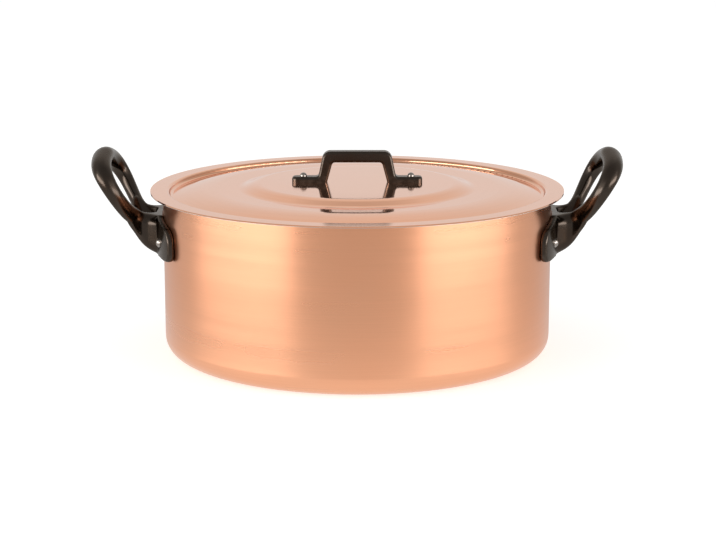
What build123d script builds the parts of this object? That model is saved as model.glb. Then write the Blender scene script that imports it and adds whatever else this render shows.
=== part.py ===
"""Copper stew pot with a lid, two cast iron loop handles and a cast iron lid handle.

Units are millimetres. The origin is at the middle of the flat base, +Z is up, and the two
loop handles lie along X. The lid is modelled where it lies on the pot.
"""

import os
from math import asin, atan, cos, pi, radians, sin, sqrt, tan

from build123d import *

# Pot: a straight wall and a flat bottom joined by a rounded corner, copper outside, steel inside
inner_diameter = 280.0
pot_height = 120.0
pot_copper = 2.2
pot_steel = 0.3
bottom_corner_radius = 13.8

# Lid: a flat rim that lies on the wall, and a recess that drops inside it. A slope rises from the
# recess to the crest of a broad ledge, and a gentle flank rises from the ledge to the raised middle.
lid_copper = 1.0
lid_steel = 0.2
lid_overhang = 9.1
lid_recess_gap = 1.2
lid_recess_depth = 4.2
lid_bend_radius = 2.2
lid_crest_radius = 114.5
lid_crest_rise = 5.0
lid_crest_bend = 90.0
lid_crest_bend_share = 0.6
lid_ledge_rise = 4.65
lid_plateau_radius = 74.3
lid_plateau_rise = 4.2
lid_flank_width = 10.8
lid_flank_top_bend = 18.0
lid_flank_foot_bend = 12.0

# Pad of a loop handle: the plate with two ears that hugs the wall
pad_thickness = 5.0
pad_half_width = 60.0
pad_bottom = 75.2
pad_ear_bottom = 76.6
pad_ear_top = 99.0
pad_centre_top = 104.5
pad_upper_radius = 11.0
pad_lower_radius = 6.0
pad_edge_radius = 1.8

# Hood of a loop handle: the hollow root that carries the two legs
hood_length = 21.4
hood_half_width = 22.0
hood_lip_half_width = 28.5
hood_lip_bottom = 94.0
hood_lip_top = 111.0
hood_corner_radius = 7.0

# Loop of a loop handle: two slim legs that meet in a full, round bight
loop_reach = 43.9
loop_top = 143.8
loop_leg_spacing = 72.0
loop_slope = 52.5
leg_width = 13.0
leg_thickness = 8.8
leg_tilt = 35.6
bight_width = 13.5
bight_thickness = 16.9

# Rivets of the loop handles
rivet_shank = 5.0
rivet_head = 7.0
rivet_head_height = 2.3
rivet_inner_head = 9.0
rivet_inner_height = 1.5
rivet_spacing = 69.0
rivet_height = 86.8

# Lid handle: a bow that stands on two feet
bow_length = 95.6
bow_height = 23.0
bow_grip_length = 49.0
bow_foot_spread = 57.0
bow_depth = 11.0
bow_bar_thickness = 8.2
bow_leg_thickness = 6.4
bow_foot_thickness = 4.2
bow_foot_corner_radius = 3.6
bow_corner_radius = 6.0
bow_inner_radius = 2.5
bow_edge_radius = 1.9

# Rivets of the lid handle
bow_rivet_shank = 4.0
bow_rivet_head = 5.2
bow_rivet_head_height = 2.7
bow_rivet_inner_head = 7.0
bow_rivet_inner_height = 1.4
bow_rivet_inset = 8.3

# Radial clearance of every rivet in its hole
hole_clearance = 0.05

# Sizes that follow from the ones above
inner_radius = inner_diameter / 2
wall_radius = inner_radius + pot_steel + pot_copper
pad_radius = wall_radius + pad_thickness
lid_sheet = lid_copper + lid_steel
lid_top = pot_height + lid_sheet
plateau_top = lid_top + lid_plateau_rise
bow_rivet_spacing = bow_length - 2 * bow_rivet_inset


def pot_line(depth):
    """The pot's section line from its middle to its rim, a given depth inside its outside."""
    corner = (wall_radius - depth, depth)
    return FilletPolyline((0, depth), corner, (corner[0], pot_height), radius=bottom_corner_radius - depth)


def pot_section(outer_depth, inner_depth):
    """Half of the section of one pot sheet, between two depths."""
    with BuildSketch(Plane.XZ) as section:
        with BuildLine():
            outer = pot_line(outer_depth)
            inner = pot_line(inner_depth)
            Line(outer @ 0, inner @ 0)
            Line(outer @ 1, inner @ 1)
        make_face()
    return section.sketch


def lid_line(depth):
    """The lid's section line from its middle to its rim, a given depth below its top."""
    recess_radius = inner_radius - lid_recess_gap - lid_sheet
    recess_floor = lid_top - lid_recess_depth
    flank_foot_radius = lid_plateau_radius + lid_flank_width
    # The bend at the crest takes up no more than its share of the slope
    slope_width = recess_radius - lid_crest_radius
    slope_angle = atan(lid_crest_rise / slope_width)
    ledge_angle = atan((lid_crest_rise - lid_ledge_rise) / (lid_crest_radius - flank_foot_radius))
    widest_bend = lid_crest_bend_share * slope_width / tan((slope_angle + ledge_angle) / 2)
    with BuildLine() as top:
        FilletPolyline(
            (0, plateau_top),
            (lid_plateau_radius, plateau_top),
            (flank_foot_radius, recess_floor + lid_ledge_rise),
            (lid_crest_radius, recess_floor + lid_crest_rise),
            (recess_radius, recess_floor),
            (recess_radius, lid_top),
            (wall_radius + lid_overhang, lid_top),
            radius=[
                lid_flank_top_bend,
                lid_flank_foot_bend,
                min(lid_crest_bend, widest_bend),
                lid_bend_radius,
                lid_bend_radius,
            ],
        )
    return top.wire().offset_2d(depth, side=Side.RIGHT, closed=False) if depth else top.wire()


def lid_section(outer_depth, inner_depth):
    """Half of the section of one lid sheet, between two depths."""
    upper = lid_line(outer_depth)
    lower = lid_line(inner_depth)
    with BuildSketch(Plane.XZ) as section:
        with BuildLine():
            add(upper)
            add(lower)
            Line(upper @ 0, lower @ 0)
            Line(upper @ 1, lower @ 1)
        make_face()
    return section.sketch


def rivet_section(inner_seat, outer_seat, shank, inner_head, outer_head):
    """Half of a rivet's section: each head is a dome of some diameter and height on its seat."""
    inner_rim = (inner_head[0] / 2, inner_seat)
    outer_rim = (outer_head[0] / 2, outer_seat)
    inner_tip = (0, inner_seat - inner_head[1])
    outer_tip = (0, outer_seat + outer_head[1])
    with BuildSketch(Plane.XZ) as section:
        with BuildLine():
            TangentArc(outer_tip, outer_rim, tangent=(1, 0))
            Polyline(outer_rim, (shank / 2, outer_seat), (shank / 2, inner_seat), inner_rim)
            TangentArc(inner_tip, inner_rim, tangent=(1, 0))
            Line(inner_tip, outer_tip)
        make_face()
    return section.sketch


def rivet_plane(side, end):
    """The plane on the pot's axis that faces out along one handle rivet."""
    turn = end * asin(rivet_spacing / 2 / wall_radius)
    return Plane(origin=(0, 0, rivet_height), x_dir=(0, 0, 1), z_dir=(side * cos(turn), sin(turn), 0))


def upright_plane(distance, height):
    """A plane across the right handle, a given distance out from the wall."""
    return Plane(origin=(wall_radius + distance, 0, height), x_dir=(0, 1, 0), z_dir=(1, 0, 0))


# Tool that drills the four radial rivet holes
with BuildPart() as rivet_holes:
    for side in (-1, 1):
        for end in (-1, 1):
            with BuildSketch(rivet_plane(side, end)):
                Circle(rivet_shank / 2 + hole_clearance)
            extrude(amount=2 * wall_radius)

# Pot shell of copper
with BuildPart() as pot_shell:
    add(pot_section(0, pot_copper))
    revolve(axis=Axis.Z)
    add(rivet_holes.part, mode=Mode.SUBTRACT)

# Steel lining, bonded to the inside of the shell
with BuildPart() as pot_lining:
    add(pot_section(pot_copper, pot_copper + pot_steel))
    revolve(axis=Axis.Z)
    add(rivet_holes.part, mode=Mode.SUBTRACT)

# Pad of the right handle
with BuildPart() as pad:
    with BuildSketch(Plane.XY.offset(pad_bottom)):
        Circle(pad_radius)
        Circle(wall_radius, mode=Mode.SUBTRACT)
    extrude(amount=pad_centre_top - pad_bottom)
    with BuildSketch(Plane.YZ):
        with BuildLine():
            FilletPolyline(
                (0, pad_bottom),
                (hood_half_width, pad_bottom),
                (pad_half_width, pad_ear_bottom),
                (pad_half_width, pad_ear_top),
                (hood_half_width, pad_centre_top),
                (0, pad_centre_top),
                radius=[pad_lower_radius, pad_lower_radius, pad_upper_radius, pad_upper_radius],
            )
            mirror(about=Plane.YZ)
        make_face()
    extrude(amount=2 * pad_radius, mode=Mode.INTERSECT)
    outer_face = pad.faces().filter_by(GeomType.CYLINDER).sort_by(SortBy.AREA)[-1]
    fillet(outer_face.edges(), pad_edge_radius)

# Hood of the right handle, lofted through upright sections from inside the pad to past its lip.
# Each station gives shares of the hood's length, of its spread, of its bottom's lift and of its
# top's rise. Its base flares out over the ears, and its end closes in on the legs.
hood_corner_share = 0.45
hood_stations = [
    (-0.25, 1.10, 0.00, 0.00),
    (0.10, 0.95, 0.02, 0.00),
    (0.30, 0.45, 0.08, 0.00),
    (0.58, 0.22, 0.27, 0.12),
    (0.80, 0.55, 0.60, 0.40),
    (1.00, 1.00, 1.00, 1.00),
    (1.13, 1.08, 1.28, 1.12),
]
with BuildPart() as hood:
    for share, spread, lift, rise in hood_stations:
        bottom = pad_bottom + lift * (hood_lip_bottom - pad_bottom)
        top = pad_centre_top + rise * (hood_lip_top - pad_centre_top)
        half_width = hood_half_width + spread * (hood_lip_half_width - hood_half_width)
        with BuildSketch(upright_plane(share * hood_length, (bottom + top) / 2)):
            corner = min(hood_corner_radius, hood_corner_share * (top - bottom))
            RectangleRounded(2 * half_width, top - bottom, corner)
    loft()

# Centre line of the right loop: out of the hood, round the bight and back. Each point gives
# shares of the reach back from the tip, of half the leg spacing and of the rise.
tip_radius = wall_radius + loop_reach
loop_rise = loop_top - pad_bottom
leg_shares = [
    (0.86, 0.36, 0.24),
    (0.55, 0.57, 0.41),
    (0.345, 0.93, 0.60),
    (0.16, 1.00, 0.81),
    (0.05, 0.70, 0.92),
]
near_leg = [
    (tip_radius - back * loop_reach, -out * loop_leg_spacing / 2, pad_bottom + up * loop_rise)
    for back, out, up in leg_shares
]
far_leg = [(x, -y, z) for x, y, z in reversed(near_leg)]
with BuildLine() as loop_line:
    Spline(*near_leg, (tip_radius, 0, loop_top), *far_leg)

# Loop of the right handle: lofted ovals that lean over in the legs and fill out in the bight
loop_sections = 11
filling_power = 3.7
with BuildPart() as loop:
    path = loop_line.edges()[0]
    facing = Vector(-sin(radians(loop_slope)), 0, cos(radians(loop_slope)))
    for count in range(loop_sections):
        share = count / (loop_sections - 1)
        along = path.tangent_at(share)
        sideways = along.cross(facing).normalized()
        outward = along.cross(sideways)
        fullness = sin(pi * share) ** filling_power
        tilt = radians(leg_tilt) * (1 - fullness)
        width = leg_width + fullness * (bight_width - leg_width)
        thickness = leg_thickness + fullness * (bight_thickness - leg_thickness)
        leaning = sideways * cos(tilt) + outward * sin(tilt)
        with BuildSketch(Plane(origin=path.position_at(share), x_dir=leaning, z_dir=along)):
            Ellipse(width / 2, thickness / 2)
    loft()

# Dish: the hollow that runs from the pad out between the legs. Each station gives a share of the
# hood's length, the height above the pad's middle, and the half width and depth of the hollow.
dish_stations = [
    (0.24, 1.0, 6.0, 3.0),
    (0.38, 1.5, 12.0, 9.0),
    (0.62, 3.0, 14.5, 11.0),
    (0.95, 10.0, 18.0, 14.0),
    (1.35, 23.0, 24.0, 17.0),
]
with BuildPart() as dish:
    for share, above, half_width, depth in dish_stations:
        with BuildSketch(upright_plane(share * hood_length, pad_centre_top + above)):
            Ellipse(half_width, depth)
    loft()

# The right handle is one casting of pad, hood and loop
with BuildPart() as handle_right:
    add(hood.part)
    add(loop.part)
    add(dish.part, mode=Mode.SUBTRACT)
    Cylinder(wall_radius, 2 * pot_height, mode=Mode.SUBTRACT)
    add(pad.part)
    add(rivet_holes.part, mode=Mode.SUBTRACT)

# The left handle is the same casting on the other side
with BuildPart() as handle_left:
    add(handle_right.part.rotate(Axis.Z, 180))

# Handle rivet: its shank passes through lining, shell and pad
lining_seat = sqrt(inner_radius**2 - (rivet_inner_head / 2) ** 2)
inner_dome = (rivet_inner_head, rivet_inner_height)
outer_dome = (rivet_head, rivet_head_height)
with BuildPart() as handle_rivet:
    add(rivet_section(lining_seat, pad_radius, rivet_shank, inner_dome, outer_dome))
    revolve(axis=Axis.Z)

with BuildPart() as left_front_rivet:
    add(handle_rivet.part.moved(rivet_plane(-1, -1).location))

with BuildPart() as left_rear_rivet:
    add(handle_rivet.part.moved(rivet_plane(-1, 1).location))

with BuildPart() as right_front_rivet:
    add(handle_rivet.part.moved(rivet_plane(1, -1).location))

with BuildPart() as right_rear_rivet:
    add(handle_rivet.part.moved(rivet_plane(1, 1).location))

# Places of the two rivets in the lid
lid_rivet_places = [(-bow_rivet_spacing / 2, 0, plateau_top), (bow_rivet_spacing / 2, 0, plateau_top)]

# Lid shell of copper
with BuildPart() as lid_shell:
    add(lid_section(0, lid_copper))
    revolve(axis=Axis.Z)
    with Locations(lid_rivet_places):
        Hole(bow_rivet_shank / 2 + hole_clearance)

# Steel lining, bonded to the underside of the lid
with BuildPart() as lid_lining:
    add(lid_section(lid_copper, lid_sheet))
    revolve(axis=Axis.Z)
    with Locations(lid_rivet_places):
        Hole(bow_rivet_shank / 2 + hole_clearance)

# Lid handle: a bow of one bar whose flat feet lie on the raised middle of the lid
foot_top = plateau_top + bow_foot_thickness
bow_top = plateau_top + bow_height
bow_underside = bow_top - bow_bar_thickness
with BuildPart() as lid_handle:
    with BuildSketch(Plane.XZ):
        with BuildLine():
            FilletPolyline(
                (bow_length / 2, foot_top),
                (bow_foot_spread / 2, foot_top),
                (bow_grip_length / 2, bow_top),
                (0, bow_top),
                radius=[bow_inner_radius, bow_corner_radius],
            )
            opening = FilletPolyline(
                (bow_foot_spread / 2 - bow_leg_thickness, plateau_top),
                (bow_grip_length / 2 - bow_leg_thickness, bow_underside),
                (0, bow_underside),
                radius=bow_inner_radius,
            )
            Polyline((bow_length / 2, foot_top), (bow_length / 2, plateau_top), opening @ 0)
            mirror(about=Plane.YZ)
        make_face()
    extrude(amount=bow_depth / 2, both=True)
    fillet(lid_handle.edges().filter_by(Axis.Z), bow_foot_corner_radius)
    side_edges = lid_handle.faces().filter_by(Axis.Y).edges()
    fillet(side_edges.filter_by(lambda edge: edge.center().Z > foot_top - bow_edge_radius), bow_edge_radius)
    with Locations(lid_rivet_places):
        Hole(bow_rivet_shank / 2 + hole_clearance)

# Lid rivet: its shank passes through lining, shell and foot
underside_dome = (bow_rivet_inner_head, bow_rivet_inner_height)
foot_dome = (bow_rivet_head, bow_rivet_head_height)
with BuildPart() as lid_rivet:
    add(rivet_section(-lid_sheet, bow_foot_thickness, bow_rivet_shank, underside_dome, foot_dome))
    revolve(axis=Axis.Z)

with BuildPart() as lid_left_rivet:
    with Locations(lid_rivet_places[0]):
        add(lid_rivet.part)

with BuildPart() as lid_right_rivet:
    with Locations(lid_rivet_places[1]):
        add(lid_rivet.part)

pot_shell.part.label = "pot_shell"
pot_lining.part.label = "pot_lining"
handle_left.part.label = "handle_left"
handle_right.part.label = "handle_right"
left_front_rivet.part.label = "left_front_rivet"
left_rear_rivet.part.label = "left_rear_rivet"
right_front_rivet.part.label = "right_front_rivet"
right_rear_rivet.part.label = "right_rear_rivet"
lid_shell.part.label = "lid_shell"
lid_lining.part.label = "lid_lining"
lid_handle.part.label = "lid_handle"
lid_left_rivet.part.label = "lid_left_rivet"
lid_right_rivet.part.label = "lid_right_rivet"

os.makedirs("parts", exist_ok=True)
export_step(pot_shell.part, "parts/pot_shell.step")
export_step(pot_lining.part, "parts/pot_lining.step")
export_step(handle_left.part, "parts/handle_left.step")
export_step(handle_right.part, "parts/handle_right.step")
export_step(left_front_rivet.part, "parts/left_front_rivet.step")
export_step(left_rear_rivet.part, "parts/left_rear_rivet.step")
export_step(right_front_rivet.part, "parts/right_front_rivet.step")
export_step(right_rear_rivet.part, "parts/right_rear_rivet.step")
export_step(lid_shell.part, "parts/lid_shell.step")
export_step(lid_lining.part, "parts/lid_lining.step")
export_step(lid_handle.part, "parts/lid_handle.step")
export_step(lid_left_rivet.part, "parts/lid_left_rivet.step")
export_step(lid_right_rivet.part, "parts/lid_right_rivet.step")
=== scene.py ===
"""Copper stew pot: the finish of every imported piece, and a plain studio stage.

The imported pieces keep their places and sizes. Only the loop handles change a little, where
modifiers round the corners between their parts. Each operator below dresses one piece or one
group of like pieces, and the last one builds the floor, the light and the camera.
"""

import math

import bpy
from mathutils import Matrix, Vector


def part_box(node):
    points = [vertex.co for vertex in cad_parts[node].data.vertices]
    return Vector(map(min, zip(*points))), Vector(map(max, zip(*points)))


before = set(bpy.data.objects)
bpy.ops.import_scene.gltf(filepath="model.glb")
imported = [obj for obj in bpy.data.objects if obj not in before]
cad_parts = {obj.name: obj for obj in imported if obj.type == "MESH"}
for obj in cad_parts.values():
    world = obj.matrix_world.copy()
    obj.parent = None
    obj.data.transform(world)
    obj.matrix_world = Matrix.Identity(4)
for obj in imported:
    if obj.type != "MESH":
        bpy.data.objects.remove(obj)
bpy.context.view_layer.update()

bl_info = {
    "name": "Copper Stew Pot",
    "version": (1, 0, 0),
    "blender": (4, 5, 0),
    "location": "3D Viewport > Sidebar > Stew Pot",
    "description": "Dresses the packed stew pot and builds its studio stage",
    "category": "Object",
}

LOOP_HANDLES = ("handle_left", "handle_right")
HANDLE_RIVETS = ("left_front_rivet", "left_rear_rivet", "right_front_rivet", "right_rear_rivet")
LID_RIVETS = ("lid_left_rivet", "lid_right_rivet")

POT_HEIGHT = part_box("pot_shell")[1].z

# Factors that keep only the level part or only the upright part of a vector.
LEVEL_PART = (1.0, 1.0, 0.0)
UPRIGHT_PART = (0.0, 0.0, 1.0)

# The bands of a turned sheet come from the same noise as its lines, at this share of the scale.
BAND_SCALE = 0.09

# The cast skin's swell and pits, as shares of the small bumps' scale.
SWELL_SCALE = 0.16
PIT_SCALE = 0.55

# What each part adds to the cast skin's height.
SMALL_BUMP_SHARE = 0.35
SWELL_SHARE = 1.4
PIT_SHARE = -0.25

# Tones on a base colour: the factors of red, green and blue where a mask is 1, and the strength.
COPPER_LINE_TONE = ((0.88, 0.88, 0.88), 0.55)
COPPER_MARK_TONE = ((1.04, 0.93, 0.86), 0.35)
IRON_MARK_TONE = ((0.85, 0.70, 0.58), 1.0)
IRON_PIT_TONE = ((0.5, 0.5, 0.5), 0.5)
STEEL_LINE_TONE = ((0.86, 0.86, 0.86), 0.5)
STEEL_SPECK_TONE = ((0.6, 0.6, 0.6), 0.3)

# A roughness starts this far under its set value, because bands and marks only add to it.
COPPER_ROUGHNESS_DROP = 0.03
IRON_ROUGHNESS_DROP = 0.05
STEEL_ROUGHNESS_DROP = 0.03

# What bands and marks add to a roughness.
COPPER_BAND_ROUGHNESS = 0.05
COPPER_MARK_ROUGHNESS = 0.04
IRON_MARK_ROUGHNESS = 0.10
STEEL_MARK_ROUGHNESS = 0.08

# Highlights stretch across the brushed lines, a quarter turn from the tangent that runs round.
GRAIN_TURN = 0.25

# The polished lid's lines are this much as deep as the brushed wall's.
LID_DEPTH_SHARE = 0.2

# How far each smoothing step moves the corners of the castings.
SMOOTH_FACTOR = 0.5

# How light metal shows the floor, by the distance in metres from its lightest place: 0 is as the room. This
# glow is a painted pool of light, not light from a lamp.
PAINTED_FLOOR_GLOW = ((0.0, 1.0), (0.08, 0.90), (0.16, 0.55), (0.28, 0.20), (0.52, 0.0), (1.0, 0.0))

# How much a direction looks at the backdrop. Place 0 is behind, 0.25 left, 0.5 in front and 0.75 right.
BACKDROP = ((0.0, 1.0), (0.07, 0.9), (0.13, 0.0), (0.87, 0.0), (0.93, 0.9), (1.0, 1.0))

# How much a direction looks at a white screen, by the same places.
SCREENS = (
    (0.0, 0.0), (0.17, 0.0), (0.22, 0.5), (0.26, 1.0), (0.36, 1.0), (0.41, 0.5), (0.46, 0.0),
    (0.54, 0.0), (0.59, 0.5), (0.64, 1.0), (0.74, 1.0), (0.78, 0.5), (0.83, 0.0), (1.0, 0.0),
)

# How steeply a direction looks up where the screens fade out, and where the ceiling comes in.
SCREEN_TOP = (0.40, 0.65)
CEILING_EDGE = (0.62, 0.95)

# Each softbox: its name, its place, its width and height in metres and its power in watts.
SOFTBOXES = (
    ("left softbox", (-1.39, -0.56, 0.22), 1.9, 0.64, 17.4),
    ("right softbox", (1.35, -0.66, 0.20), 1.7, 0.60, 13.6),
)

# The camera's sensor in millimetres, and the nearest and farthest distance that it shows in metres.
SENSOR_WIDTH = 36.0
NEAREST = 0.05
FARTHEST = 50.0


class CopperFinish(bpy.types.PropertyGroup):
    """Sizes and colours of the pot's and the lid's copper."""

    wall_color: bpy.props.FloatVectorProperty(
        name="Wall Color",
        description="Satin copper of the pot's wall",
        subtype="COLOR",
        default=(0.94, 0.46, 0.27),
    )
    lid_color: bpy.props.FloatVectorProperty(
        name="Lid Color",
        description="Polished copper of the lid",
        subtype="COLOR",
        default=(0.94, 0.49, 0.305),
    )
    wall_roughness: bpy.props.FloatProperty(
        name="Wall Roughness",
        description="Roughness of the brushed wall",
        default=0.28,
        min=0.0,
        max=1.0,
    )
    lid_roughness: bpy.props.FloatProperty(
        name="Lid Roughness",
        description="Roughness of the polished lid",
        default=0.08,
        min=0.0,
        max=1.0,
    )
    wall_grain: bpy.props.FloatProperty(
        name="Wall Grain",
        description="How much the brushed grain stretches a highlight",
        default=0.5,
        min=0.0,
        max=1.0,
    )
    line_pitch: bpy.props.FloatProperty(
        name="Line Pitch",
        description="Distance between brushed lines",
        default=0.0009,
        min=0.0002,
        unit="LENGTH",
    )
    line_depth: bpy.props.FloatProperty(
        name="Line Depth",
        description="Depth of the brushed lines",
        default=0.000002,
        min=0.0,
        unit="LENGTH",
    )


class IronFinish(bpy.types.PropertyGroup):
    """Sizes and colours of the dark castings."""

    color: bpy.props.FloatVectorProperty(
        name="Iron Color",
        description="Dark brown of the castings",
        subtype="COLOR",
        default=(0.050, 0.036, 0.026),
    )
    worn_color: bpy.props.FloatVectorProperty(
        name="Worn Color",
        description="Colour where edges are rubbed",
        subtype="COLOR",
        default=(0.12, 0.095, 0.075),
    )
    roughness: bpy.props.FloatProperty(
        name="Roughness",
        description="Roughness of the castings",
        default=0.26,
        min=0.0,
        max=1.0,
    )
    skin_size: bpy.props.FloatProperty(
        name="Skin Size",
        description="Size of the casting's small bumps",
        default=0.0016,
        min=0.0002,
        unit="LENGTH",
    )
    skin_depth: bpy.props.FloatProperty(
        name="Skin Depth",
        description="Height of the casting's small bumps",
        default=0.00009,
        min=0.0,
        unit="LENGTH",
    )
    blend_voxel: bpy.props.FloatProperty(
        name="Blend Voxel",
        description="Grid that rounds the inner corners",
        default=0.0007,
        min=0.0003,
        unit="LENGTH",
    )
    blend_steps: bpy.props.IntProperty(
        name="Blend Steps",
        description="How often the castings are smoothed",
        default=7,
        min=0,
        max=40,
    )


class SteelFinish(bpy.types.PropertyGroup):
    """Sizes and colours of the linings and the rivets."""

    lining_color: bpy.props.FloatVectorProperty(
        name="Lining Color",
        description="Satin steel inside the pot",
        subtype="COLOR",
        default=(0.62, 0.61, 0.59),
    )
    lining_roughness: bpy.props.FloatProperty(
        name="Lining Roughness",
        description="Roughness of the satin steel",
        default=0.34,
        min=0.0,
        max=1.0,
    )
    lining_pitch: bpy.props.FloatProperty(
        name="Lining Pitch",
        description="Distance between the lining's turned lines",
        default=0.0011,
        min=0.0002,
        unit="LENGTH",
    )
    lining_depth: bpy.props.FloatProperty(
        name="Lining Depth",
        description="Depth of the lining's turned lines",
        default=0.000005,
        min=0.0,
        unit="LENGTH",
    )
    rivet_color: bpy.props.FloatVectorProperty(
        name="Rivet Color",
        description="Steel of the rivets",
        subtype="COLOR",
        default=(0.42, 0.37, 0.33),
    )
    rivet_roughness: bpy.props.FloatProperty(
        name="Rivet Roughness",
        description="Roughness of the rivet heads",
        default=0.20,
        min=0.0,
        max=1.0,
    )
    rivet_pitch: bpy.props.FloatProperty(
        name="Rivet Pitch",
        description="Distance between the fine lines on a rivet head",
        default=0.0006,
        min=0.0002,
        unit="LENGTH",
    )
    rivet_depth: bpy.props.FloatProperty(
        name="Rivet Depth",
        description="Depth of the fine lines on a rivet head",
        default=0.000003,
        min=0.0,
        unit="LENGTH",
    )


class StageSettings(bpy.types.PropertyGroup):
    """Floor, light and camera."""

    floor_size: bpy.props.FloatProperty(
        name="Floor Size",
        description="Side of the square floor",
        default=12.0,
        min=1.0,
        unit="LENGTH",
    )
    floor_color: bpy.props.FloatVectorProperty(
        name="Floor Color",
        description="Pale floor",
        subtype="COLOR",
        default=(0.86, 0.86, 0.85),
    )
    floor_lift: bpy.props.FloatProperty(
        name="Floor Lift",
        description="Light that the floor shows to the camera alone",
        default=0.5,
        min=0.0,
        max=1.0,
    )
    # Where the painted pool of light on the mirrored floor is centred, in front of the pot.
    glow_forward: bpy.props.FloatProperty(
        name="Glow Forward",
        description="How far in front of the pot the mirrored floor is lightest",
        default=0.08,
        unit="LENGTH",
    )
    room_level: bpy.props.FloatProperty(
        name="Room Level",
        description="Brightness of the room that metal mirrors",
        default=0.62,
        min=0.0,
        max=1.0,
    )
    backdrop_level: bpy.props.FloatProperty(
        name="Backdrop Level",
        description="Brightness of the mirrored backdrop",
        default=1.0,
        min=0.0,
        max=1.0,
    )
    screen_level: bpy.props.FloatProperty(
        name="Screen Level",
        description="Brightness of the white screens at both sides",
        default=1.5,
        min=0.0,
        max=3.0,
    )
    ceiling_level: bpy.props.FloatProperty(
        name="Ceiling Level",
        description="Brightness of the mirrored ceiling",
        default=0.45,
        min=0.0,
        max=1.0,
    )
    light_level: bpy.props.FloatProperty(
        name="Light Level",
        description="Even light of the room on matt surfaces",
        default=0.75,
        min=0.0,
        max=2.0,
    )
    camera_distance: bpy.props.FloatProperty(
        name="Camera Distance",
        description="Distance in front of the pot's axis",
        default=1.4237,
        unit="LENGTH",
    )
    camera_height: bpy.props.FloatProperty(
        name="Camera Height",
        description="Height above the floor",
        default=0.3695,
        unit="LENGTH",
    )
    camera_side: bpy.props.FloatProperty(
        name="Camera Side",
        description="Distance to the right of the pot's axis",
        default=0.0006,
        unit="LENGTH",
    )
    camera_tilt: bpy.props.FloatProperty(
        name="Camera Tilt",
        description="Angle below the horizon",
        default=math.radians(12.31),
        subtype="ANGLE",
    )
    camera_lens: bpy.props.FloatProperty(
        name="Camera Lens",
        description="Focal length",
        default=98.6,
        min=20.0,
        subtype="DISTANCE_CAMERA",
    )


def link(tree, source, target):
    """Joins two sockets of a node tree."""
    tree.links.new(source, target)


def add_math(tree, operation, first, second):
    """A math node. Each input is a socket or a number."""
    node = tree.nodes.new("ShaderNodeMath")
    node.operation = operation
    for socket, value in zip(node.inputs, (first, second)):
        if isinstance(value, bpy.types.NodeSocket):
            link(tree, value, socket)
        else:
            socket.default_value = value
    return node.outputs[0]


def add_share(tree, value, mask, share):
    """A value plus a share of a mask. Each input is a socket or a number."""
    return add_math(tree, "ADD", add_math(tree, "MULTIPLY", mask, share), value)


def add_blend(tree, factor, first, second):
    """Goes from the first number to the second. Each input is a socket or a number."""
    return add_share(tree, first, add_math(tree, "SUBTRACT", second, first), factor)


def add_vector_math(tree, operation, first, second=None, output="Vector"):
    """A vector math node. The second input is a socket or three numbers."""
    node = tree.nodes.new("ShaderNodeVectorMath")
    node.operation = operation
    link(tree, first, node.inputs[0])
    if isinstance(second, bpy.types.NodeSocket):
        link(tree, second, node.inputs[1])
    elif second:
        node.inputs[1].default_value = second
    return node.outputs[output]


def add_split(tree, vector):
    """The X, Y and Z of a vector."""
    node = tree.nodes.new("ShaderNodeSeparateXYZ")
    link(tree, vector, node.inputs[0])
    return node.outputs


def add_place(tree):
    """The place on the piece in metres, measured from the middle of the pot's base."""
    return tree.nodes.new("ShaderNodeTexCoord").outputs["Object"]


def add_noise(tree, vector, scale, detail, roughness=0.5):
    """A noise texture on a vector. The scale is a socket or a number."""
    node = tree.nodes.new("ShaderNodeTexNoise")
    node.inputs["Detail"].default_value = detail
    node.inputs["Roughness"].default_value = roughness
    link(tree, vector, node.inputs["Vector"])
    if isinstance(scale, bpy.types.NodeSocket):
        link(tree, scale, node.inputs["Scale"])
    else:
        node.inputs["Scale"].default_value = scale
    return node.outputs["Fac"]


def add_range(tree, value, low, high, new_low=0.0, new_high=1.0):
    """Maps a value from one range to another, clamped."""
    node = tree.nodes.new("ShaderNodeMapRange")
    for name, number in (("From Min", low), ("From Max", high), ("To Min", new_low), ("To Max", new_high)):
        node.inputs[name].default_value = number
    link(tree, value, node.inputs["Value"])
    return node.outputs["Result"]


def add_ramp(tree, value, stops):
    """A smooth curve through pairs of position and level."""
    node = tree.nodes.new("ShaderNodeFloatCurve")
    curve = node.mapping.curves[0]
    while len(curve.points) < len(stops):
        curve.points.new(0.5, 0.5)
    for point, place in zip(curve.points, stops):
        point.location = place
    node.mapping.update()
    link(tree, value, node.inputs["Value"])
    return node.outputs["Value"]


def add_mix(tree, factor, first, second):
    """Mixes two colours. Each colour is a socket or three numbers."""
    node = tree.nodes.new("ShaderNodeMix")
    node.data_type = "RGBA"
    factor_in, first_in, second_in = node.inputs[0], node.inputs[6], node.inputs[7]
    link(tree, factor, factor_in)
    for socket, value in ((first_in, first), (second_in, second)):
        if isinstance(value, bpy.types.NodeSocket):
            link(tree, value, socket)
        else:
            socket.default_value = (*value, 1.0)
    return node.outputs[2]


def add_tone(tree, mask, below, color, tone):
    """Goes from the colour below to a tinted base colour where a mask is 1, as strongly as the tone says."""
    tint, strength = tone
    tinted = [min(1.0, factor * channel) for factor, channel in zip(tint, color)]
    return add_mix(tree, add_math(tree, "MULTIPLY", mask, strength), below, tinted)


def add_bump(tree, height, distance, normal=None):
    """A bump node, where a height of 1 stands for a real distance."""
    node = tree.nodes.new("ShaderNodeBump")
    node.inputs["Strength"].default_value = 1.0
    node.inputs["Distance"].default_value = distance
    link(tree, height, node.inputs["Height"])
    if normal:
        link(tree, normal, node.inputs["Normal"])
    return node.outputs["Normal"]


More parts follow.
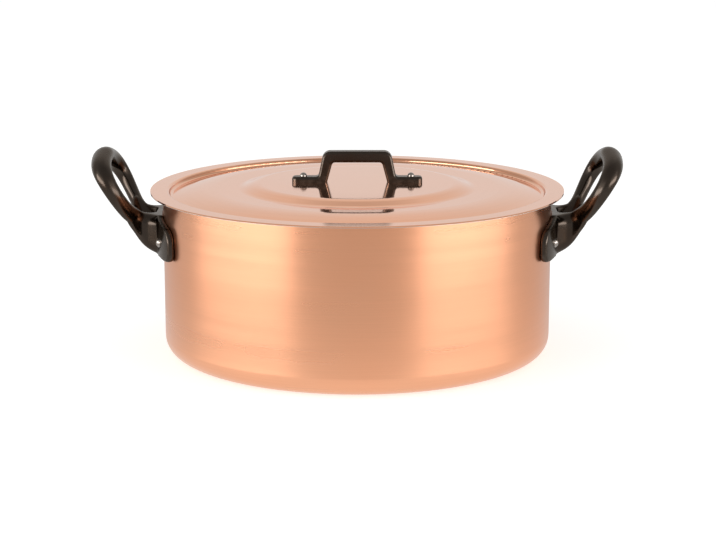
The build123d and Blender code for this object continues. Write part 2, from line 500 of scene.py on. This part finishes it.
def new_group(name, inputs, outputs, output_type="NodeSocketFloat"):
    """An empty shader node group with float inputs. Returns its tree, inputs and outputs."""
    tree = bpy.data.node_groups.new(name, "ShaderNodeTree")
    for label, default in inputs:
        socket = tree.interface.new_socket(label, in_out="INPUT", socket_type="NodeSocketFloat")
        socket.default_value = default
    for label in outputs:
        tree.interface.new_socket(label, in_out="OUTPUT", socket_type=output_type)
    start = tree.nodes.new("NodeGroupInput")
    end = tree.nodes.new("NodeGroupOutput")
    return tree, start.outputs, end.inputs


def turned_lines_group():
    """Lines that run round the pot's axis: level on the wall, and circles on the lid and the bottom."""
    name = "Turned Lines"
    if name in bpy.data.node_groups:
        return bpy.data.node_groups[name]
    tree, given, result = new_group(name, [("Pitch", 0.001), ("Reach", 6.0)], ["Lines", "Bands"])
    place = add_place(tree)
    level = add_vector_math(tree, "MULTIPLY", place, LEVEL_PART)
    distance = add_vector_math(tree, "LENGTH", level, output="Value")
    outward = add_split(tree, add_vector_math(tree, "NORMALIZE", level))
    across = add_math(tree, "ADD", distance, add_split(tree, place)["Z"])
    joined = tree.nodes.new("ShaderNodeCombineXYZ")
    for axis in ("X", "Y"):
        link(tree, add_math(tree, "MULTIPLY", outward[axis], given["Reach"]), joined.inputs[axis])
    link(tree, add_math(tree, "DIVIDE", across, given["Pitch"]), joined.inputs["Z"])
    fine = add_noise(tree, joined.outputs["Vector"], scale=1.0, detail=2.0)
    broad = add_noise(tree, joined.outputs["Vector"], scale=BAND_SCALE, detail=2.0)
    link(tree, add_range(tree, fine, low=0.1, high=0.9), result["Lines"])
    link(tree, add_range(tree, broad, low=0.3, high=0.7), result["Bands"])
    return tree


def turned_normal_group():
    """The normal of a turned sheet: it leans only in the plane through the axis, as on a true round."""
    name = "Turned Normal"
    if name in bpy.data.node_groups:
        return bpy.data.node_groups[name]
    tree, _, result = new_group(name, [], ["Normal"], output_type="NodeSocketVector")
    given = tree.nodes.new("ShaderNodeNewGeometry").outputs["Normal"]
    level = add_vector_math(tree, "MULTIPLY", add_place(tree), LEVEL_PART)
    outward = add_vector_math(tree, "NORMALIZE", level)
    lean = add_vector_math(tree, "DOT_PRODUCT", given, outward, output="Value")
    leaning = add_vector_math(tree, "MULTIPLY", outward, lean)
    upright = add_vector_math(tree, "MULTIPLY", given, UPRIGHT_PART)
    both = add_vector_math(tree, "ADD", leaning, upright)
    link(tree, add_vector_math(tree, "NORMALIZE", both), result["Normal"])
    return tree


def soft_marks_group():
    """Broad soft marks from wiping and handling, and small scattered specks."""
    name = "Soft Marks"
    if name in bpy.data.node_groups:
        return bpy.data.node_groups[name]
    tree, given, result = new_group(name, [("Mark Size", 0.05), ("Speck Size", 0.004)], ["Marks", "Specks"])
    place = add_place(tree)
    mark_scale = add_math(tree, "DIVIDE", 1.0, given["Mark Size"])
    speck_scale = add_math(tree, "DIVIDE", 1.0, given["Speck Size"])
    marks = add_noise(tree, place, mark_scale, detail=4.0, roughness=0.55)
    specks = add_noise(tree, place, speck_scale, detail=2.0)
    link(tree, add_range(tree, marks, low=0.35, high=0.68), result["Marks"])
    link(tree, add_range(tree, specks, low=0.60, high=0.76), result["Specks"])
    return tree


def cast_skin_group():
    """The slightly uneven skin of a sand casting: a low swell, small bumps and a few pits."""
    name = "Cast Skin"
    if name in bpy.data.node_groups:
        return bpy.data.node_groups[name]
    tree, given, result = new_group(name, [("Bump Size", 0.0016)], ["Height", "Pits"])
    place = add_place(tree)
    scale = add_math(tree, "DIVIDE", 1.0, given["Bump Size"])
    small = add_noise(tree, place, scale, detail=3.0, roughness=0.6)
    swell = add_noise(tree, place, add_math(tree, "MULTIPLY", scale, SWELL_SCALE), detail=2.0)
    cells = tree.nodes.new("ShaderNodeTexVoronoi")
    link(tree, place, cells.inputs["Vector"])
    link(tree, add_math(tree, "MULTIPLY", scale, PIT_SCALE), cells.inputs["Scale"])
    pits = add_range(tree, cells.outputs["Distance"], low=0.05, high=0.16, new_low=1.0, new_high=0.0)
    height = add_math(tree, "MULTIPLY", small, SMALL_BUMP_SHARE)
    height = add_share(tree, height, swell, SWELL_SHARE)
    height = add_share(tree, height, pits, PIT_SHARE)
    link(tree, height, result["Height"])
    link(tree, pits, result["Pits"])
    return tree


def edge_wear_group():
    """Where outer edges are rubbed bright, broken up by a little noise."""
    name = "Edge Wear"
    if name in bpy.data.node_groups:
        return bpy.data.node_groups[name]
    tree, given, result = new_group(name, [("Breakup Size", 0.003)], ["Wear"])
    sharp = tree.nodes.new("ShaderNodeNewGeometry").outputs["Pointiness"]
    breakup_scale = add_math(tree, "DIVIDE", 1.0, given["Breakup Size"])
    breakup = add_noise(tree, add_place(tree), breakup_scale, detail=3.0)
    edge = add_range(tree, sharp, low=0.505, high=0.56)
    kept = add_range(tree, breakup, low=0.35, high=0.65, new_low=0.25)
    link(tree, add_math(tree, "MULTIPLY", edge, kept), result["Wear"])
    return tree


def place_group(tree, group, **values):
    """Places a shared group in a material and sets its inputs."""
    node = tree.nodes.new("ShaderNodeGroup")
    node.node_tree = group
    for label, value in values.items():
        node.inputs[label.replace("_", " ").title()].default_value = value
    return node.outputs


def new_metal(name, roughness):
    """A metal with only a Principled BSDF. Returns the material, its tree and the shader."""
    material = bpy.data.materials.new(name)
    material.use_nodes = True
    tree = material.node_tree
    tree.nodes.clear()
    output = tree.nodes.new("ShaderNodeOutputMaterial")
    shader = tree.nodes.new("ShaderNodeBsdfPrincipled")
    shader.inputs["Metallic"].default_value = 1.0
    shader.inputs["Roughness"].default_value = roughness
    link(tree, shader.outputs["BSDF"], output.inputs["Surface"])
    return material, tree, shader


def copper_material(name, color, roughness, pitch, depth, grain):
    """Copper with turned lines, faint bands and soft marks."""
    material, tree, shader = new_metal(name, roughness)
    lines = place_group(tree, turned_lines_group(), pitch=pitch, reach=1.8)
    marks = place_group(tree, soft_marks_group(), mark_size=0.09)
    tone = add_tone(tree, lines["Lines"], color, color, COPPER_LINE_TONE)
    tone = add_tone(tree, marks["Marks"], tone, color, COPPER_MARK_TONE)
    link(tree, tone, shader.inputs["Base Color"])
    rough = add_share(tree, roughness - COPPER_ROUGHNESS_DROP, lines["Bands"], COPPER_BAND_ROUGHNESS)
    rough = add_share(tree, rough, marks["Marks"], COPPER_MARK_ROUGHNESS)
    link(tree, rough, shader.inputs["Roughness"])
    turned = place_group(tree, turned_normal_group())
    link(tree, add_bump(tree, lines["Lines"], depth, turned["Normal"]), shader.inputs["Normal"])
    shader.inputs["Anisotropic"].default_value = grain
    shader.inputs["Anisotropic Rotation"].default_value = GRAIN_TURN
    tangent = tree.nodes.new("ShaderNodeTangent")
    tangent.direction_type = "RADIAL"
    tangent.axis = "Z"
    link(tree, tangent.outputs["Tangent"], shader.inputs["Tangent"])
    return material


def dark_iron(finish):
    """Dark brown glossy iron with a cast skin and rubbed edges, one for every casting."""
    name = "Dark Iron"
    if name in bpy.data.materials:
        return bpy.data.materials[name]
    material, tree, shader = new_metal(name, finish.roughness)
    shader.inputs["Specular Tint"].default_value = (0.50, 0.46, 0.42, 1.0)
    shader.inputs["Coat Weight"].default_value = 0.4
    shader.inputs["Coat Roughness"].default_value = 0.16
    shader.inputs["Coat IOR"].default_value = 1.5
    skin = place_group(tree, cast_skin_group(), bump_size=finish.skin_size)
    wear = place_group(tree, edge_wear_group(), breakup_size=0.004)
    marks = place_group(tree, soft_marks_group(), mark_size=0.018)
    tone = add_tone(tree, marks["Marks"], finish.color, finish.color, IRON_MARK_TONE)
    tone = add_mix(tree, wear["Wear"], tone, finish.worn_color)
    tone = add_tone(tree, skin["Pits"], tone, finish.color, IRON_PIT_TONE)
    link(tree, tone, shader.inputs["Base Color"])
    rough = add_share(tree, finish.roughness - IRON_ROUGHNESS_DROP, marks["Marks"], IRON_MARK_ROUGHNESS)
    link(tree, rough, shader.inputs["Roughness"])
    link(tree, add_bump(tree, skin["Height"], finish.skin_depth), shader.inputs["Normal"])
    return material


def steel_material(name, color, roughness, pitch, depth):
    """Steel with fine turned lines and a few specks."""
    if name in bpy.data.materials:
        return bpy.data.materials[name]
    material, tree, shader = new_metal(name, roughness)
    lines = place_group(tree, turned_lines_group(), pitch=pitch, reach=9.0)
    marks = place_group(tree, soft_marks_group(), mark_size=0.03, speck_size=0.001)
    tone = add_tone(tree, lines["Lines"], color, color, STEEL_LINE_TONE)
    tone = add_tone(tree, marks["Specks"], tone, color, STEEL_SPECK_TONE)
    link(tree, tone, shader.inputs["Base Color"])
    rough = add_share(tree, roughness - STEEL_ROUGHNESS_DROP, marks["Marks"], STEEL_MARK_ROUGHNESS)
    link(tree, rough, shader.inputs["Roughness"])
    link(tree, add_bump(tree, lines["Lines"], depth), shader.inputs["Normal"])
    return material


def lining_steel(finish):
    """The satin steel inside the pot and under the lid."""
    return steel_material(
        "Lining Steel", finish.lining_color, finish.lining_roughness, finish.lining_pitch, finish.lining_depth
    )


def rivet_steel(finish):
    """The bright steel of every rivet."""
    return steel_material(
        "Rivet Steel", finish.rivet_color, finish.rivet_roughness, finish.rivet_pitch, finish.rivet_depth
    )


def dress(names, material):
    """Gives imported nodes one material."""
    for name in names:
        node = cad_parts[name]
        node.data.materials.clear()
        node.data.materials.append(material)


def round_inner_corners(node, finish):
    """Closes the creases where the parts of a casting meet, and smooths them."""
    remesh = node.modifiers.new("Casting", "REMESH")
    remesh.mode = "VOXEL"
    remesh.voxel_size = finish.blend_voxel
    remesh.use_smooth_shade = True
    smooth = node.modifiers.new("Rounded Corners", "SMOOTH")
    smooth.factor = SMOOTH_FACTOR
    smooth.iterations = finish.blend_steps


def add_heading(tree, vector):
    """A direction round the pot, from 0 to 1: 0 behind, 0.25 left, 0.5 in front and 0.75 right."""
    parts = add_split(tree, vector)
    turn = add_math(tree, "ARCTAN2", parts["X"], add_math(tree, "MULTIPLY", parts["Y"], -1.0))
    in_front = 0.5
    return add_math(tree, "ADD", add_math(tree, "DIVIDE", turn, math.tau), in_front), parts["Z"]


def add_mirror_look(tree, path):
    """1 where metal or glass looks, and 0 where the camera or a matt surface does."""
    return add_math(tree, "MAXIMUM", path["Is Glossy Ray"], path["Is Transmission Ray"])


def floor_material(settings):
    """A pale matt floor, that metal shows lighter close to the pot: a painted pool of light that glows for
    metal alone.
    """
    material = bpy.data.materials.new("Pale Floor")
    material.use_nodes = True
    tree = material.node_tree
    tree.nodes.clear()
    output = tree.nodes.new("ShaderNodeOutputMaterial")
    path = tree.nodes.new("ShaderNodeLightPath").outputs
    matt = tree.nodes.new("ShaderNodeBsdfDiffuse")
    matt.inputs["Color"].default_value = (*settings.floor_color, 1.0)
    lift = tree.nodes.new("ShaderNodeEmission")
    lift_level = add_math(tree, "MULTIPLY", path["Is Camera Ray"], settings.floor_lift)
    link(tree, lift_level, lift.inputs["Strength"])
    direct = tree.nodes.new("ShaderNodeAddShader")
    link(tree, matt.outputs["BSDF"], direct.inputs[0])
    link(tree, lift.outputs["Emission"], direct.inputs[1])
    # Metal sees the floor glow brighter near the pot: a painted pool of light, not lit by a lamp.
    shifted = add_vector_math(tree, "ADD", add_place(tree), (0.0, settings.glow_forward, 0.0))
    painted_glow = add_ramp(tree, add_vector_math(tree, "LENGTH", shifted, output="Value"), PAINTED_FLOOR_GLOW)
    mirrored = tree.nodes.new("ShaderNodeEmission")
    link(tree, add_blend(tree, painted_glow, settings.room_level, 1.0), mirrored.inputs["Strength"])
    both = tree.nodes.new("ShaderNodeMixShader")
    link(tree, add_mirror_look(tree, path), both.inputs["Fac"])
    link(tree, direct.outputs["Shader"], both.inputs[1])
    link(tree, mirrored.outputs["Emission"], both.inputs[2])
    link(tree, both.outputs["Shader"], output.inputs["Surface"])
    return material


def build_floor(settings):
    """A large square floor that keeps the pot's shadow."""
    half = settings.floor_size / 2
    mesh = bpy.data.meshes.new("floor")
    corners = [(-half, -half, 0.0), (half, -half, 0.0), (half, half, 0.0), (-half, half, 0.0)]
    mesh.from_pydata(corners, [], [(0, 1, 2, 3)])
    mesh.materials.append(floor_material(settings))
    floor = bpy.data.objects.new("floor", mesh)
    bpy.context.scene.collection.objects.link(floor)


def build_world(settings):
    """A studio room: a white backdrop behind the pot, white screens at both sides, and a dim ceiling."""
    world = bpy.data.worlds.new("studio")
    bpy.context.scene.world = world
    world.use_nodes = True
    tree = world.node_tree
    tree.nodes.clear()
    output = tree.nodes.new("ShaderNodeOutputWorld")
    background = tree.nodes.new("ShaderNodeBackground")
    link(tree, background.outputs["Background"], output.inputs["Surface"])
    path = tree.nodes.new("ShaderNodeLightPath").outputs
    heading, upward = add_heading(tree, tree.nodes.new("ShaderNodeTexCoord").outputs["Generated"])
    behind = add_ramp(tree, heading, BACKDROP)
    room = add_blend(tree, behind, settings.room_level, settings.backdrop_level)
    low_enough = add_range(tree, upward, *SCREEN_TOP, new_low=1.0, new_high=0.0)
    sides = add_math(tree, "MULTIPLY", add_ramp(tree, heading, SCREENS), low_enough)
    room = add_blend(tree, sides, room, settings.screen_level)
    room = add_blend(tree, add_range(tree, upward, *CEILING_EDGE), room, settings.ceiling_level)
    level = add_blend(tree, add_mirror_look(tree, path), settings.light_level, room)
    link(tree, add_math(tree, "MAXIMUM", level, path["Is Camera Ray"]), background.inputs["Strength"])


def add_softbox(name, place, width, height, power, target):
    """A large area lamp that faces a point."""
    data = bpy.data.lights.new(name, "AREA")
    data.shape = "RECTANGLE"
    data.size = width
    data.size_y = height
    data.energy = power
    lamp = bpy.data.objects.new(name, data)
    bpy.context.scene.collection.objects.link(lamp)
    lamp.location = place
    lamp.rotation_euler = (Vector(target) - Vector(place)).to_track_quat("-Z", "Y").to_euler()
    lamp.visible_camera = False


def build_camera(settings):
    """The camera in front of the pot, that looks a little down."""
    data = bpy.data.cameras.new("camera")
    data.lens = settings.camera_lens
    data.sensor_width = SENSOR_WIDTH
    data.clip_start = NEAREST
    data.clip_end = FARTHEST
    camera = bpy.data.objects.new("camera", data)
    bpy.context.scene.collection.objects.link(camera)
    camera.location = (settings.camera_side, -settings.camera_distance, settings.camera_height)
    camera.rotation_euler = (math.radians(90.0) - settings.camera_tilt, 0.0, 0.0)
    bpy.context.scene.camera = camera


class DressPot(bpy.types.Operator):
    """Give the pot's shell its brushed satin copper and its inside the satin steel."""

    bl_idname = "stewpot.dress_pot"
    bl_label = "Dress Pot"

    def execute(self, context):
        copper = context.scene.pot_copper
        shell = copper_material(
            "Satin Copper",
            copper.wall_color,
            copper.wall_roughness,
            copper.line_pitch,
            copper.line_depth,
            copper.wall_grain,
        )
        dress(["pot_shell"], shell)
        dress(["pot_lining"], lining_steel(context.scene.pot_steel))
        return {"FINISHED"}


class DressLoopHandles(bpy.types.Operator):
    """Give both loop handles their cast iron, and round the corners where their parts meet."""

    bl_idname = "stewpot.dress_loop_handles"
    bl_label = "Dress Loop Handles"

    def execute(self, context):
        finish = context.scene.pot_iron
        dress(LOOP_HANDLES, dark_iron(finish))
        for name in LOOP_HANDLES:
            round_inner_corners(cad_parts[name], finish)
        return {"FINISHED"}


class DressHandleRivets(bpy.types.Operator):
    """Give the four rivets of the loop handles their bright steel."""

    bl_idname = "stewpot.dress_handle_rivets"
    bl_label = "Dress Handle Rivets"

    def execute(self, context):
        dress(HANDLE_RIVETS, rivet_steel(context.scene.pot_steel))
        return {"FINISHED"}


class DressLid(bpy.types.Operator):
    """Give the lid its polished copper and its underside the satin steel."""

    bl_idname = "stewpot.dress_lid"
    bl_label = "Dress Lid"

    def execute(self, context):
        copper = context.scene.pot_copper
        shell = copper_material(
            "Polished Copper",
            copper.lid_color,
            copper.lid_roughness,
            copper.line_pitch,
            LID_DEPTH_SHARE * copper.line_depth,
            grain=0.0,
        )
        dress(["lid_shell"], shell)
        dress(["lid_lining"], lining_steel(context.scene.pot_steel))
        return {"FINISHED"}


class DressLidHandle(bpy.types.Operator):
    """Give the lid's bow its cast iron."""

    bl_idname = "stewpot.dress_lid_handle"
    bl_label = "Dress Lid Handle"

    def execute(self, context):
        dress(["lid_handle"], dark_iron(context.scene.pot_iron))
        return {"FINISHED"}


class DressLidRivets(bpy.types.Operator):
    """Give the two rivets of the lid's bow their bright steel."""

    bl_idname = "stewpot.dress_lid_rivets"
    bl_label = "Dress Lid Rivets"

    def execute(self, context):
        dress(LID_RIVETS, rivet_steel(context.scene.pot_steel))
        return {"FINISHED"}


class BuildStage(bpy.types.Operator):
    """Build the floor, the light and the camera."""

    bl_idname = "stewpot.build_stage"
    bl_label = "Build Stage"

    def execute(self, context):
        settings = context.scene.pot_stage
        build_floor(settings)
        build_world(settings)
        middle = (0.0, 0.0, POT_HEIGHT / 2)
        for softbox in SOFTBOXES:
            add_softbox(*softbox, target=middle)
        build_camera(settings)
        context.scene.view_settings.view_transform = "Standard"
        return {"FINISHED"}


STEPS = (DressPot, DressLoopHandles, DressHandleRivets, DressLid, DressLidHandle, DressLidRivets, BuildStage)


class StewPotPanel(bpy.types.Panel):
    """The stew pot's steps in the sidebar."""

    bl_idname = "STEWPOT_PT_steps"
    bl_label = "Stew Pot"
    bl_space_type = "VIEW_3D"
    bl_region_type = "UI"
    bl_category = "Stew Pot"

    def draw(self, context):
        for step in STEPS:
            self.layout.operator(step.bl_idname)


CLASSES = (CopperFinish, IronFinish, SteelFinish, StageSettings, *STEPS, StewPotPanel)


def register():
    """Registers every class and the scene's settings."""
    for item in CLASSES:
        bpy.utils.register_class(item)
    bpy.types.Scene.pot_copper = bpy.props.PointerProperty(type=CopperFinish)
    bpy.types.Scene.pot_iron = bpy.props.PointerProperty(type=IronFinish)
    bpy.types.Scene.pot_steel = bpy.props.PointerProperty(type=SteelFinish)
    bpy.types.Scene.pot_stage = bpy.props.PointerProperty(type=StageSettings)


def unregister():
    """Removes what register added."""
    for name in ("pot_stage", "pot_steel", "pot_iron", "pot_copper"):
        delattr(bpy.types.Scene, name)
    for item in reversed(CLASSES):
        bpy.utils.unregister_class(item)


def main():
    """Runs every step."""
    register()
    bpy.ops.stewpot.dress_pot()
    bpy.ops.stewpot.dress_loop_handles()
    bpy.ops.stewpot.dress_handle_rivets()
    bpy.ops.stewpot.dress_lid()
    bpy.ops.stewpot.dress_lid_handle()
    bpy.ops.stewpot.dress_lid_rivets()
    bpy.ops.stewpot.build_stage()


if __name__ == "__main__":
    main()
